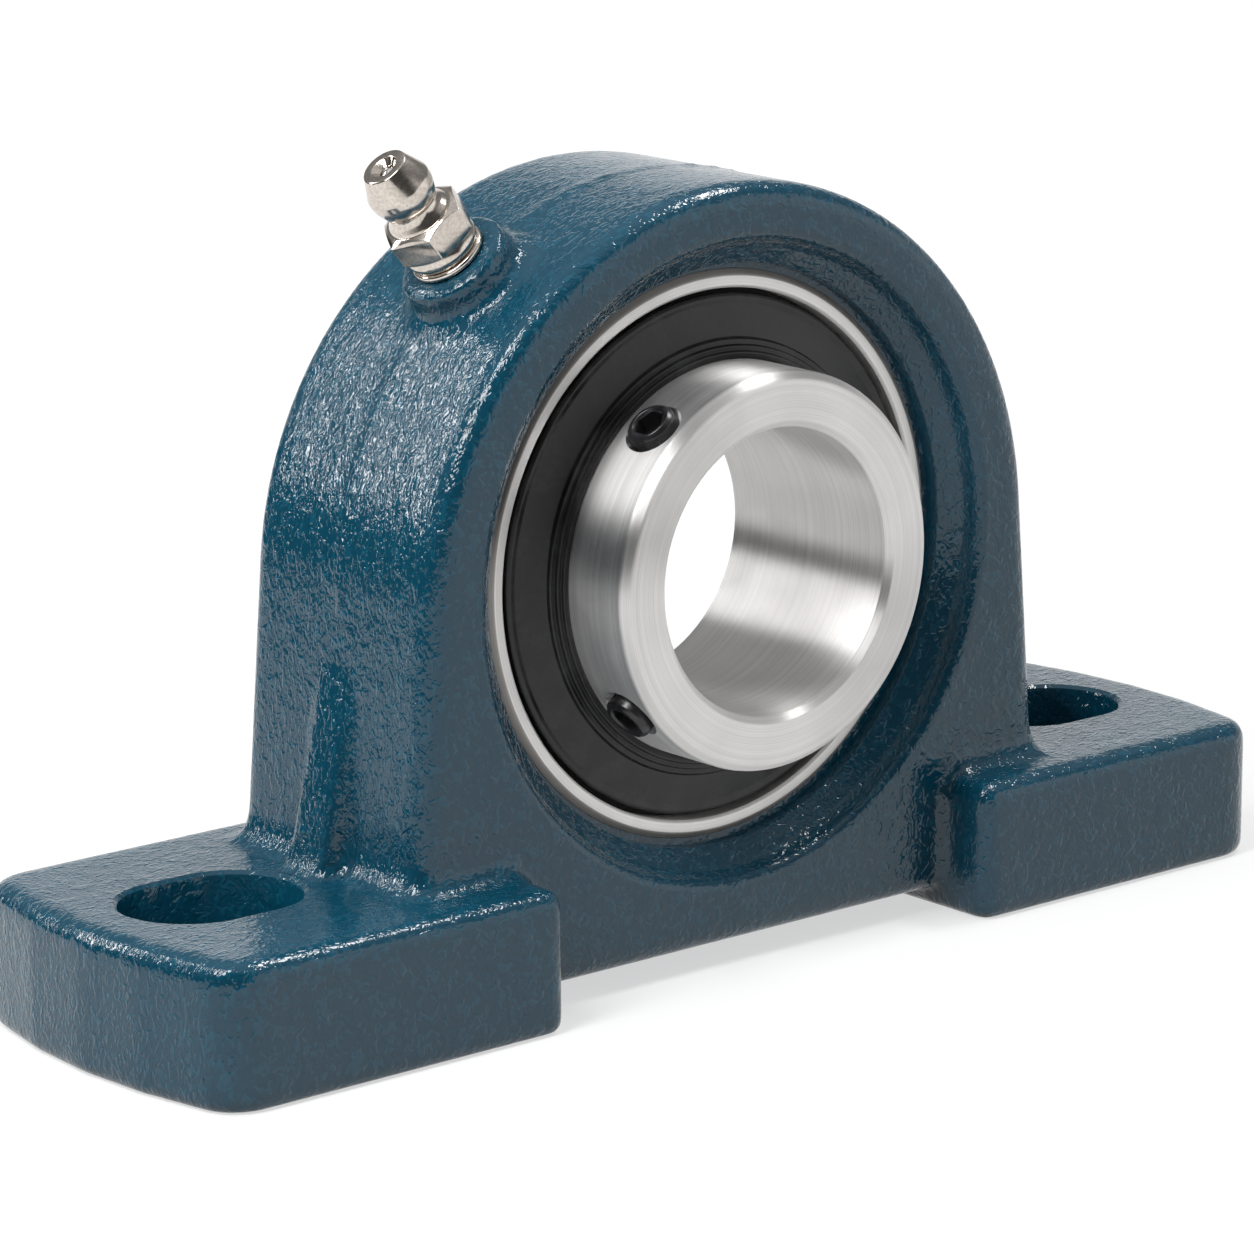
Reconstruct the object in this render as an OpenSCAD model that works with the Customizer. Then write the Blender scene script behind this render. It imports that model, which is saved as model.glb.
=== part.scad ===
// Two-bolt pillow block with a self-aligning, set-screw insert bearing.
// The origin is the centre of the spherical seat, on the shaft axis. +X runs along the
// base, +Y along the shaft to the back, +Z up. The set-screw side faces -Y.

/* [Insert bearing] */
// Shaft bore diameter
bore_d = 35; // [32:0.5:36]
// Diameter of the outer ring's spherical outside
outer_d = 72; // [71.5:0.1:72.5]
// Width of the outer ring
outer_w = 20; // [19.5:0.1:20.5]
// Outside diameter of the inner ring
inner_d = 48.4; // [48:0.1:48.8]
// Reach of the inner ring in front of the seat centre
inner_front = 22; // [21:0.5:24]
// Reach of the inner ring behind the seat centre
inner_back = 7; // [7:0.5:9]
// Ball diameter
ball_d = 9.5; // [9.4:0.05:9.6]
// Number of balls
ball_n = 10; // [8:1:10]

/* [Set screws] */
// Thread diameter
screw_d = 6; // [5:0.5:6]
// Length
screw_len = 7.2; // [6.8:0.1:7.4]
// Distance of the screws in front of the seat centre
screw_y = 16.5; // [16:0.1:17]
// Socket size across its flats
socket_af = 3.4; // [3:0.1:3.6]

/* [Housing] */
// Height of the shaft centre above the base
centre_h = 49.8; // [49:0.1:51]
// Length of the base between its corners
base_len = 166.4; // [165:0.2:168]
// Depth of the feet, front to back
foot_depth = 49.6; // [48:0.2:50]
// Thickness of the feet
foot_t = 17.5; // [16:0.5:18]
// Clear span between the two feet
foot_span = 67; // [64:1:68]
// Thickness of the arched body, front to back
body_w = 34.8; // [34:0.2:36]
// How far the seat sits in front of the middle of the housing
seat_offset = 2.1; // [1.8:0.1:2.3]
// Radius of the arch
arch_r = 47.4; // [47:0.1:48]
// Splay of the body's flanks, in degrees
flank_tilt = 4.5; // [4:0.5:5]
// Distance between the bolt slots
bolt_pitch = 133.4; // [132:0.2:134]
// Width of a bolt slot
slot_w = 17; // [14:0.5:17]
// Length of a bolt slot
slot_len = 22.4; // [20:0.2:23]

/* [Grease nipple] */
// Tilt of the nipple from vertical, toward -X, in degrees
nipple_tilt = 39.5; // [36:0.5:44]
// Hexagon size across its flats
nipple_af = 9.2; // [8.5:0.1:9.4]
// Height of the nipple's tip above its boss
nipple_reach = 14.8; // [14.5:0.1:15.4]

/* [Hidden] */
$fn = 96;

fit = 0.05;                                 // running clearance on a radius
lap = 0.6;                                  // how far a fillet is sunk into what it joins
outer_r = outer_d / 2;
inner_r = inner_d / 2;
bore_r = bore_d / 2;
ball_r = ball_d / 2;
outer_half = outer_w / 2;
body_half = body_w / 2;
face_front = body_half - seat_offset;
face_back = body_half + seat_offset;
foot_half = foot_depth / 2;

shoulder_r = 31;                            // inside of the outer ring beside its raceway
pitch_r = (inner_r + shoulder_r) / 2;       // centres of the balls
groove_r = ball_r + 0.05;                   // raceway curve, a little open to the ball
seal_r = 32.5;                              // counterbore that the seals are pressed into
shoulder_y = 5.9;                           // ends of the shoulders, from the centre

arch_z = -1.6;                              // centre of the arch
cast_e = 2.6;                               // rounding of the cast edges
relief = 2.6;                               // underside of the body above the base
end_bow = 2.4;                              // bulge of the feet's ends
corner_r = 6;                               // plan corners of the feet
foot_e = 2.2;                               // rounding of the feet's top edges
base_e = 1.2;                               // rounding of the feet's bottom edges
cove_r = 3;                                 // hollow fillets round the body's foot
foot_z = -centre_h + foot_t;                // top of the feet
inner_x = foot_span / 2;                    // inner side of a foot
flank_x = flank_at(foot_z);                 // flank where it meets the foot

seat_end = 9.7;                             // seat's edge, then the sloping land and the wall
land_r = [34.3, 37.2];
land_y = [seat_end, 11.3];
wall_r = 38.7;
lip_e = 1.7;                                // rounding of the recess's lip

boss_r = 6.9;                               // round boss under the nipple
boss_top = 50.5;
thread_r = 3.55;                            // nipple's thread, then its feed hole
feed_r = 1.5;
nipple_turn = 25;                           // how far the hexagon is turned when tight
collar_r = 4.6;
hex_at = [3, 7];                            // lower and upper face of the hexagon
nip_bore_r = 1.35;
nip_lip_r = 0.9;                            // edge that the check ball seals against
nip_ball_r = 1.2;
nip_ball_at = nipple_reach - 1.78;

screw_a = [129, 219];                       // directions of the two set screws
cage_r = [25.2, 30];                        // inner and outer edge of the cage, then its sheet
cage_t = 0.7;
rivet_r = 0.9;
pin_r = 1.5;                                // ball pin that keeps the outer ring from turning
pin_at = [33.3, 38.4];

function flank_at(z) = (arch_r - (z - arch_z) * sin(flank_tilt)) / cos(flank_tilt);

// A solid of revolution about the shaft axis; the profile's second axis points to the front
module turned(a = 360) rotate([90, 0, 0]) rotate_extrude(angle = a) children();

// Children along a radius of the shaft, at an angle from +X toward +Z
module radial(a, front = 0) translate([0, -front, 0]) rotate([0, 90 - a, 0]) children();

// Hollow corner piece between two walls that meet at the origin
module cove(r) difference() {
    translate([-lap, -lap]) square(r + lap);
    translate([r - 0.02, r - 0.02]) circle(r);
}

// Disc with a rounded rim, used as a corner of the castings
module rim(r, e, a = 360) rotate_extrude(angle = a) intersection() {
    translate([r - e, 0]) circle(e, $fn = 28);
    translate([0, -e]) square([r, 2 * e]);
}

module round_disc(r, a = 360) rotate([90, 0, 0]) for (y = [-1, 1])
    translate([0, 0, y * (body_half - cast_e)]) rim(r, cast_e, a);

module arched_body() {
    low_r = 5;
    low_z = -centre_h + relief + low_r;
    low_x = flank_at(low_z) - low_r / cos(flank_tilt);
    hull() {
        translate([0, 0, arch_z]) round_disc(arch_r, 180, $fn = 144);
        for (x = [-low_x, low_x]) translate([x, 0, low_z]) round_disc(low_r, $fn = 32);
    }
}

// Low bead that the casting's parting line leaves over the arch
module parting_line() translate([0, 0, arch_z]) rotate([0, 8, 0]) turned(196)
    translate([arch_r - 0.1, 0]) circle(0.4, $fn = 24);

// Corner of a foot, rounded along its top and bottom edge
module foot_corner(r) {
    translate([0, 0, foot_z - foot_e]) rim(r, foot_e);
    translate([0, 0, -centre_h + base_e]) rim(r, base_e);
}

module foot() hull() {
    for (k = [-1:0.5:1])
        translate([base_len / 2 + end_bow * (1 - k * k) - corner_r, k * (foot_half - corner_r), 0])
            foot_corner(corner_r, $fn = 40);
    for (k = [-1, 1]) translate([inner_x + foot_e, k * (foot_half - foot_e), 0])
        foot_corner(foot_e, $fn = 28);
}

// Rib that stiffens each flank; its ridge runs down to a hollow toe on the foot
module rib() {
    ridge = 1.3;
    half = 2.6;
    low_x = 53.6;
    top = [flank_at(-2) - 0.6, -3.5];
    hull() for (y = [-1, 1]) {
        translate([top[0] - ridge, y * 2, top[1]]) sphere(ridge, $fn = 24);
        translate([low_x - ridge, y * half, foot_z]) sphere(ridge, $fn = 24);
        translate([flank_x - 4, y * half, foot_z]) sphere(ridge, $fn = 24);
    }
    translate([low_x - 0.3, half + ridge - 0.4, foot_z]) rotate([90, 0, 0])
        linear_extrude(2 * (half + ridge - 0.4)) cove(2.2);
}

// Fillets where the body stands on a foot and beside it
module foot_coves() {
    side_y = body_half - cast_e;
    translate([flank_x, side_y, foot_z]) rotate([90, 0, 0]) linear_extrude(2 * side_y) cove(cove_r);
    for (m = [0, 1]) mirror([0, m, 0]) {
        translate([inner_x + foot_e, body_half, foot_z]) rotate([90, 0, 90])
            linear_extrude(flank_x - cast_e - inner_x - foot_e) cove(cove_r);
        translate([flank_x - cast_e, side_y, foot_z]) rotate_extrude(angle = 90)
            translate([cast_e, 0]) cove(cove_r);
        translate([inner_x, body_half, -centre_h + relief + 1.2]) rotate([0, 0, 90])
            linear_extrude(foot_t - relief - 1.2 - foot_e) cove(2);
    }
    translate([inner_x, side_y, -centre_h + relief]) rotate([90, 90, 0]) mirror([0, 1, 0])
        linear_extrude(2 * side_y) cove(relief - 0.5);
}

// Low round boss, flared where it leaves the arch
module nipple_boss() radial(90 + nipple_tilt) {
    cylinder(r = boss_r, h = boss_top - 0.4);
    translate([0, 0, boss_top - 0.4]) cylinder(r1 = boss_r, r2 = boss_r - 0.4, h = 0.4);
    translate([0, 0, arch_r - 1.2]) rotate_extrude() translate([boss_r, 0]) cove(1.8);
}

// Sloping land, wall and rounded lip from the seat's front edge out to a face of the housing
module recess(face) turned() difference() {
    polygon([[0, land_y[0]], [land_r[0], land_y[0]], [land_r[1], land_y[1]], [wall_r, face - lip_e],
        [wall_r + lip_e, face], [wall_r + lip_e, face + 1], [0, face + 1]]);
    translate([wall_r + lip_e, face - lip_e]) circle(lip_e);
}

module seat_space() {
    sphere(outer_r + 0.03, $fn = 144);
    recess(face_front);
    mirror([0, 1, 0]) recess(face_back);
}

// A bolt slot that runs through a foot, with a broken top edge
module bolt_slot() {
    r = slot_w / 2;
    half = slot_len / 2 - r;
    translate([bolt_pitch / 2, 0, -centre_h - 1]) linear_extrude(foot_t + 4) {
        square([2 * half, slot_w], center = true);
        for (x = [-half, half]) translate([x, 0]) circle(r);
    }
    translate([bolt_pitch / 2, 0, foot_z - 0.8]) {
        for (x = [-half, half]) translate([x, 0, 0]) cylinder(r1 = r, r2 = r + 1, h = 1);
        rotate([90, 0, 90]) translate([0, 0, -half]) linear_extrude(2 * half)
            polygon([[-r, 0], [r, 0], [r + 1, 1], [-r - 1, 1]]);
    }
}

// Side slots behind the seat's rear edge, through which the insert goes in edge-on
module loading_slots() {
    half_x = outer_r + 0.15;
    half_z = outer_half + 0.3;
    translate([-half_x, 0.5, -half_z]) cube([2 * half_x, face_back, 2 * half_z]);
}

module housing() color([0.13, 0.28, 0.36]) difference() {
    union() {
        translate([0, seat_offset, 0]) {
            arched_body();
            for (m = [0, 1]) mirror([m, 0, 0]) {
                foot();
                rib();
                foot_coves();
            }
            parting_line();
        }
        nipple_boss();
    }
    seat_space();
    for (m = [0, 1]) mirror([m, 0, 0]) translate([0, seat_offset, 0]) bolt_slot();
    loading_slots();
    radial(90 + nipple_tilt) {
        cylinder(r = feed_r, h = boss_top);
        translate([0, 0, 41]) cylinder(r = thread_r + fit, h = 10);
        translate([-feed_r, -1.5, 30]) cube([2 * feed_r, 7.5, 7]);
    }
    translate([-pin_r - fit, -5, 30]) cube([2 * (pin_r + fit), 10, pin_at[1] + 0.6 - 30]);
}

module outer_ring() color([0.8, 0.8, 0.79]) difference() {
    intersection() {
        sphere(outer_r, $fn = 144);
        turned() polygon([[0, -outer_half], [34.2, -outer_half], [35.2, -outer_half + 1],
            [outer_r + 1, 0], [35.2, outer_half - 1], [34.2, outer_half], [0, outer_half]]);
    }
    turned() {
        translate([0, -outer_half - 1]) square([shoulder_r, outer_w + 2]);
        translate([pitch_r, 0]) circle(groove_r);
        polygon([[0, shoulder_y], [seal_r, shoulder_y], [seal_r, outer_half - 0.3],
            [seal_r + 0.4, outer_half + 0.1], [0, outer_half + 0.1]]);
        polygon([[0, -shoulder_y], [seal_r, -shoulder_y], [seal_r, -outer_half + 0.3],
            [seal_r + 0.4, -outer_half - 0.1], [0, -outer_half - 0.1]]);
        translate([outer_r - 0.6, -6]) square([2, 2]);
    }
    translate([0, 0, pin_at[0] - 0.1]) cylinder(r = pin_r + fit, h = 5);
    radial(230, -5) cylinder(r = 0.8, h = 40);
}

module locating_pin() color([0.6, 0.6, 0.62]) {
    translate([0, 0, pin_at[0]]) cylinder(r = pin_r, h = pin_at[1] - pin_at[0] - pin_r);
    translate([0, 0, pin_at[1] - pin_r]) sphere(pin_r);
}

module inner_ring() color([0.83, 0.83, 0.82]) difference() {
    edge = 1.3;
    hole_r = screw_d / 2 + fit;
    turned() difference() {
        union() {
            polygon([[bore_r, -inner_back + 0.8], [bore_r + 0.8, -inner_back],
                [inner_r - 0.6, -inner_back], [inner_r, -inner_back + 0.6],
                [inner_r, inner_front - edge], [inner_r - edge, inner_front - edge],
                [inner_r - edge, inner_front], [bore_r + 1, inner_front], [bore_r, inner_front - 1]]);
            translate([inner_r - edge, inner_front - edge]) circle(edge);
        }
        translate([pitch_r, 0]) circle(groove_r);
    }
    for (a = screw_a) radial(a, screw_y) {
        cylinder(r = hole_r, h = inner_r + 2);
        translate([0, 0, inner_r - 0.9]) cylinder(r1 = hole_r, r2 = hole_r + 1.2, h = 1.5);
    }
}

// Cup-point socket screw, backed out so that the bore is clear
module set_screw() {
    r = screw_d / 2;
    foot_at = bore_r + 0.7;
    translate([0, 0, foot_at]) difference() {
        union() {
            cylinder(r1 = r - 0.7, r2 = r, h = 0.7);
            translate([0, 0, 0.7]) cylinder(r = r, h = screw_len - 1.1);
            translate([0, 0, screw_len - 0.4]) cylinder(r1 = r, r2 = r - 0.4, h = 0.4);
        }
        translate([0, 0, -0.1]) cylinder(r1 = 1.4, r2 = 0.4, h = 1);
        translate([0, 0, screw_len - 2.8]) cylinder(d = socket_af / cos(30), h = 4, $fn = 6);
        translate([0, 0, screw_len - 0.4])
            cylinder(r1 = socket_af / 2 - 0.1, r2 = socket_af / 2 + 0.5, h = 0.6);
    }
}
module set_screw_1() color([0.12, 0.12, 0.12]) radial(screw_a[0], screw_y) set_screw();
module set_screw_2() color([0.12, 0.12, 0.12]) radial(screw_a[1], screw_y) set_screw();

// Section of a rubber-lipped seal, which is pressed into the outer ring
module seal_section() polygon([[inner_r + 0.15, 5.5], [25, 5.8], [26.5, shoulder_y + 0.1],
    [seal_r - fit, shoulder_y + 0.1], [seal_r - fit, 7], [31.6, 6.8], [26.5, 6.6], [25.4, 6.7],
    [inner_r + 0.15, 6.4]]);
module seal_front() color([0.1, 0.1, 0.1]) turned() seal_section();
module seal_rear() color([0.1, 0.1, 0.1]) mirror([0, 1, 0]) turned() seal_section();

// Dished slinger pressed onto the inner ring, with three steps at its hub
module slinger_front() color([0.15, 0.15, 0.15]) turned() {
    polygon([[inner_r, 8.6], [25.4, 8.6], [26.4, 9.8], [31, 8.9], [31, 8.3], [31.6, 8.3], [31.6, 9.4],
        [26.5, 10.7], [26.5, 11.1], [25.8, 11.1], [25.8, 11.5], [25.1, 11.5], [25.1, 11.9],
        [inner_r, 11.9]]);
    translate([31.3, 9.4]) circle(0.3);
}

// Children at a ball's place in the raceway, with Z along the shaft; k may lie between two balls
module at_ball(k) radial(90 + k * 360 / ball_n) translate([0, 0, pitch_r]) rotate([90, 0, 0]) children();

// One pressed half of the ribbon cage: a spherical pocket over each ball, flat between them
module cage_half() {
    pocket_r = ball_r + 0.1;
    difference() {
        intersection() {
            turned() translate([cage_r[0], 0]) square([cage_r[1] - cage_r[0], 7]);
            union() {
                for (i = [0:ball_n - 1]) at_ball(i) rotate([0, 0, 30]) sphere(pocket_r + cage_t);
                turned() translate([cage_r[0] - 1, -1]) square([cage_r[1] - cage_r[0] + 2, 1 + cage_t]);
            }
        }
        for (i = [0:ball_n - 1]) {
            at_ball(i) rotate([0, 0, 30]) sphere(pocket_r);
            at_ball(i + 0.5) cylinder(r = rivet_r, h = 3 * cage_t, center = true);
        }
    }
}
module cage_front() color([0.72, 0.66, 0.5]) cage_half();
module cage_rear() color([0.72, 0.66, 0.5]) mirror([0, 1, 0]) cage_half();
module cage_rivets() color([0.75, 0.75, 0.75]) for (i = [0:ball_n - 1]) at_ball(i + 0.5) {
    cylinder(r = rivet_r, h = 2 * cage_t + 0.1, center = true);
    for (m = [0, 1]) mirror([0, 0, m]) translate([0, 0, cage_t]) cylinder(r1 = 1.5, r2 = 1.1, h = 0.6);
}

module ball(i) color([0.86, 0.86, 0.87]) at_ball(i - 1) sphere(ball_r);

// Children in the nipple's own frame: Z along its axis, from the top of the boss
module at_nipple() radial(90 + nipple_tilt) translate([0, 0, boss_top]) children();

module nipple_washer() color([0.78, 0.76, 0.72]) at_nipple() rotate_extrude() {
    edge = 0.45;
    translate([thread_r + 0.1, 0]) square([collar_r - edge - thread_r - 0.1, 2 * edge]);
    translate([collar_r - edge, edge]) circle(edge);
}

module nipple_body() color([0.78, 0.76, 0.72]) at_nipple() {
    shank = boss_top - 41.2;
    across = nipple_af / cos(30);
    difference() {
        union() {
            translate([0, 0, -shank]) cylinder(r = thread_r, h = shank + 1.2);
            intersection() {
                translate([0, 0, hex_at[0] - 0.1]) rotate([0, 0, nipple_turn])
                    cylinder(d = across, h = hex_at[1] - hex_at[0] + 0.2, $fn = 6);
                rotate_extrude() polygon([[0, hex_at[0]], [nipple_af / 2, hex_at[0]],
                    [across / 2 + 0.1, hex_at[0] + 0.4], [across / 2 + 0.1, hex_at[1] - 0.8],
                    [nipple_af / 2 - 0.3, hex_at[1]], [0, hex_at[1]]]);
            }
            rotate_extrude() polygon([[0, 0.95], [collar_r - 0.5, 0.95], [collar_r - 0.1, 1.4],
                [collar_r, 2], [collar_r - 0.15, 2.6], [collar_r - 0.6, hex_at[0] + 0.1],
                [0, hex_at[0] + 0.1]]);
            rotate_extrude() polygon([[0, hex_at[1] - 0.1], [4, hex_at[1] - 0.1], [3.4, hex_at[1] + 0.9],
                [3.2, hex_at[1] + 1.7], [3.5, hex_at[1] + 2.1], [3.95, hex_at[1] + 3.4],
                [4.05, hex_at[1] + 4.3], [3.95, hex_at[1] + 4.8], [2.7, nipple_reach - 0.1],
                [2.6, nipple_reach], [0, nipple_reach]]);
        }
        translate([0, 0, -shank - 1]) cylinder(r = nip_bore_r, h = shank + nipple_reach - 0.6);
        translate([0, 0, nipple_reach - 1.6]) cylinder(r1 = nip_bore_r, r2 = nip_lip_r, h = 0.7);
        translate([0, 0, nipple_reach - 1]) cylinder(r = nip_lip_r, h = 2);
        translate([0, 0, nipple_reach - 0.7]) cylinder(r1 = nip_lip_r, r2 = 1.6, h = 0.8);
    }
}

module nipple_ball() color([0.7, 0.7, 0.7]) at_nipple() translate([0, 0, nip_ball_at]) sphere(nip_ball_r);

// Coil that holds the check ball up
module nipple_spring() {
    coil_r = 0.95;
    wire_r = 0.2;
    turns = 5;
    per_turn = 14;
    sides = 6;
    low = nip_ball_at - 9;
    high = nip_ball_at - nip_ball_r - wire_r;
    steps = turns * per_turn;
    points = [for (i = [0:steps], k = [0:sides - 1])
        let (a = i * 360 / per_turn, b = k * 360 / sides, r = coil_r + wire_r * cos(b))
        [r * cos(a), r * sin(a), low + (high - low) * i / steps + wire_r * sin(b)]];
    walls = [for (i = [0:steps - 1], k = [0:sides - 1]) let (j = (k + 1) % sides)
        [i * sides + k, (i + 1) * sides + k, (i + 1) * sides + j, i * sides + j]];
    caps = [[for (k = [0:sides - 1]) k], [for (k = [sides - 1:-1:0]) steps * sides + k]];
    color([0.6, 0.6, 0.6]) at_nipple() polyhedron(points, concat(walls, caps));
}

housing();
outer_ring();
locating_pin();
inner_ring();
slinger_front();
set_screw_1();
set_screw_2();
seal_front();
seal_rear();
cage_front();
cage_rear();
cage_rivets();
ball(1);  // ball_1
ball(2);  // ball_2
ball(3);  // ball_3
ball(4);  // ball_4
ball(5);  // ball_5
ball(6);  // ball_6
ball(7);  // ball_7
ball(8);  // ball_8
ball(9);  // ball_9
ball(10);  // ball_10
nipple_washer();
nipple_body();
nipple_ball();
nipple_spring();
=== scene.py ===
"""Looks of a two-bolt pillow block and its insert bearing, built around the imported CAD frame.

Sizes in the classes are in millimetres, in the frame of the CAD part: the origin is the centre of
the spherical seat on the shaft axis, +X runs along the base, +Y along the shaft to the back and
+Z up. Every mesh is made in metres.
"""

import logging
import math
from dataclasses import dataclass, field
from enum import Enum
from typing import Iterable, Sequence

import bmesh
import bpy
from mathutils import Matrix, Vector

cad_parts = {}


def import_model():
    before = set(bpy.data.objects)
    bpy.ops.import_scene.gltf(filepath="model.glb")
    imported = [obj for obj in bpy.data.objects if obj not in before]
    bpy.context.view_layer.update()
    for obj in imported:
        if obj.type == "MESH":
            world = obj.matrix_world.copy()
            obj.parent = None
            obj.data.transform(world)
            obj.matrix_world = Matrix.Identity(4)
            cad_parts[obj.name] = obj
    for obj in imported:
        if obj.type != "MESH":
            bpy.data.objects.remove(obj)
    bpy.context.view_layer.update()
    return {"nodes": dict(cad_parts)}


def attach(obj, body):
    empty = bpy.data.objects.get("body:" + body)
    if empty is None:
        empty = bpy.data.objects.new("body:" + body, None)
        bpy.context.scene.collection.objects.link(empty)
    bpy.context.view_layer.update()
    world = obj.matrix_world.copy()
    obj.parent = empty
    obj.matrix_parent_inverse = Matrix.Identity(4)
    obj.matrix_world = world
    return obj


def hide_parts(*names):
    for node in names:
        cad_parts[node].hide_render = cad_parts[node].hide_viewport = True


MM = 0.001
SHARP = math.radians(32.0)
WELD_GAP = 1e-6
FLOAT, VECTOR = "NodeSocketFloat", "NodeSocketVector"
LOG = logging.getLogger("pillow_block")
Point = tuple[float, float, float]
Pair = tuple[float, float]


# Mesh helpers


def ease(bm: bmesh.types.BMesh) -> None:
    """Smooths every face and keeps crisp the edges that bend by more than SHARP."""
    for face in bm.faces:
        face.smooth = True
    for edge in bm.edges:
        edge.smooth = len(edge.link_faces) == 2 and edge.calc_face_angle(0.0) < SHARP


def new_object(name: str, bm: bmesh.types.BMesh) -> bpy.types.Object:
    """Turns a bmesh into a linked object with smooth faces and marked sharp edges.

    Args:
        name: Name of the object and its mesh.
        bm: The finished shape, in metres. It is freed here.

    Returns:
        The new object, at the origin.
    """
    ease(bm)
    mesh = bpy.data.meshes.new(name)
    bm.to_mesh(mesh)
    bm.free()
    obj = bpy.data.objects.new(name, mesh)
    bpy.context.scene.collection.objects.link(obj)
    return obj


def settle(obj: bpy.types.Object) -> bpy.types.Object:
    """Applies every modifier of a piece and marks its sharp edges again.

    Args:
        obj: The piece.

    Returns:
        The same piece, with no modifier left.
    """
    bpy.context.view_layer.update()
    seen = obj.evaluated_get(bpy.context.evaluated_depsgraph_get())
    bm = bmesh.new()
    bm.from_mesh(bpy.data.meshes.new_from_object(seen))
    ease(bm)
    for face in bm.faces:
        face.material_index = 0
    obj.modifiers.clear()
    bm.to_mesh(obj.data)
    bm.free()
    return obj


def add_boolean(obj: bpy.types.Object, other: bpy.types.Object, operation: str) -> None:
    """Adds an exact boolean modifier.

    Args:
        obj: The piece to change.
        other: The closed solid that it is combined with.
        operation: DIFFERENCE, INTERSECT or UNION.
    """
    mod = obj.modifiers.new(operation.lower(), "BOOLEAN")
    mod.operation = operation
    mod.solver = "EXACT"
    mod.object = other


def cut(obj: bpy.types.Object, cutters: Iterable[bpy.types.Object]) -> None:
    """Subtracts each cutter from a piece and removes the cutter.

    Args:
        obj: The piece to cut.
        cutters: Closed solids.
    """
    for tool in cutters:
        add_boolean(obj, tool, "DIFFERENCE")
        settle(obj)
        bpy.data.objects.remove(tool)


def frame_along(axis: Vector, origin: Vector = Vector()) -> Matrix:
    """A placement whose +Z lies along an axis and whose +Y stays close to the shaft's.

    Args:
        axis: Direction of the new +Z.
        origin: Place of the new origin, in metres.

    Returns:
        The placement as a 4x4 matrix.
    """
    z = axis.normalized()
    y = Vector((0, 1, 0))
    x = y.cross(z).normalized()
    return Matrix.Translation(origin) @ Matrix((x, z.cross(x), z)).transposed().to_4x4()


def radial_frame(angle_deg: float, y: float = 0.0) -> Matrix:
    """A placement on the shaft axis whose +Z points along a radius.

    Args:
        angle_deg: Direction of the radius, from +X toward +Z.
        y: Place along the shaft, in millimetres.

    Returns:
        The placement as a 4x4 matrix.
    """
    a = math.radians(angle_deg)
    return frame_along(Vector((math.cos(a), 0, math.sin(a))), Vector((0, y * MM, 0)))


@dataclass(frozen=True)
class Corner:
    """One corner of a turned section: its radius, its height along the axis and its rounding."""

    r: float
    h: float
    round: float = 0.0


def turned(name: str, section: Sequence[Corner | tuple[float, ...]], steps: int = 192,
           about_y: bool = True, place: Matrix | None = None, closed: bool = True,
           arc: int = 5) -> bpy.types.Object:
    """Spins a section into a solid of revolution.

    Args:
        name: Name of the piece.
        section: Corners, or their values, in order. A closed section never touches the axis.
        steps: Facets around the axis.
        about_y: True to turn about the shaft, False to turn about +Z of the placement.
        place: Placement of the finished shape.
        closed: False for a section whose two ends lie on the axis.
        arc: Segments in each rounded corner.

    Returns:
        The new piece.
    """
    section = [c if isinstance(c, Corner) else Corner(*c) for c in section]
    bm = bmesh.new()
    spots = [bm.verts.new((c.r * MM, c.h * MM, 0) if about_y else (c.r * MM, 0, c.h * MM))
             for c in section]
    pairs = list(zip(spots, spots[1:] + spots[:1])) if closed else list(zip(spots, spots[1:]))
    for a, b in pairs:
        bm.edges.new((a, b))
    for spot, corner in zip(spots, section):
        if corner.round:
            bmesh.ops.bevel(bm, geom=[spot], offset=corner.round * MM, offset_type="OFFSET", segments=arc,
                            profile=0.5, affect="VERTICES", material=-1)
    axis = (0, 1, 0) if about_y else (0, 0, 1)
    bmesh.ops.spin(bm, geom=bm.verts[:] + bm.edges[:], cent=(0, 0, 0), axis=axis, angle=math.tau,
                   steps=steps, use_merge=True)
    bmesh.ops.remove_doubles(bm, verts=bm.verts[:], dist=0.2e-6)
    bmesh.ops.recalc_face_normals(bm, faces=bm.faces[:])
    if place is not None:
        bmesh.ops.transform(bm, matrix=place, verts=bm.verts[:])
    return new_object(name, bm)


def cylinder(name: str, r: float, low: float, high: float, place: Matrix,
             r_high: float | None = None, sides: int = 48) -> bpy.types.Object:
    """A cylinder or cone along +Z of a placement, used as a cutter.

    Args:
        name: Name of the piece.
        r: Radius at the low end.
        low: Height of the low end.
        high: Height of the high end.
        place: Placement.
        r_high: Radius at the high end, or None for a cylinder.
        sides: Facets around it.

    Returns:
        The new piece.
    """
    bm = bmesh.new()
    bmesh.ops.create_cone(bm, cap_ends=True, segments=sides, radius1=r * MM,
                          radius2=(r if r_high is None else r_high) * MM, depth=(high - low) * MM)
    bmesh.ops.translate(bm, vec=(0, 0, (low + high) / 2 * MM), verts=bm.verts[:])
    bmesh.ops.transform(bm, matrix=place, verts=bm.verts[:])
    return new_object(name, bm)


def block(name: str, low: Point, high: Point) -> bpy.types.Object:
    """A box between two corners, used as a cutter.

    Args:
        name: Name of the piece.
        low: Lowest corner.
        high: Highest corner.

    Returns:
        The new piece.
    """
    bm = bmesh.new()
    bmesh.ops.create_cube(bm, size=1.0)
    size = [(b - a) * MM for a, b in zip(low, high)]
    bmesh.ops.scale(bm, vec=size, verts=bm.verts[:])
    bmesh.ops.translate(bm, vec=[(a + b) / 2 * MM for a, b in zip(low, high)], verts=bm.verts[:])
    return new_object(name, bm)


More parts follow.
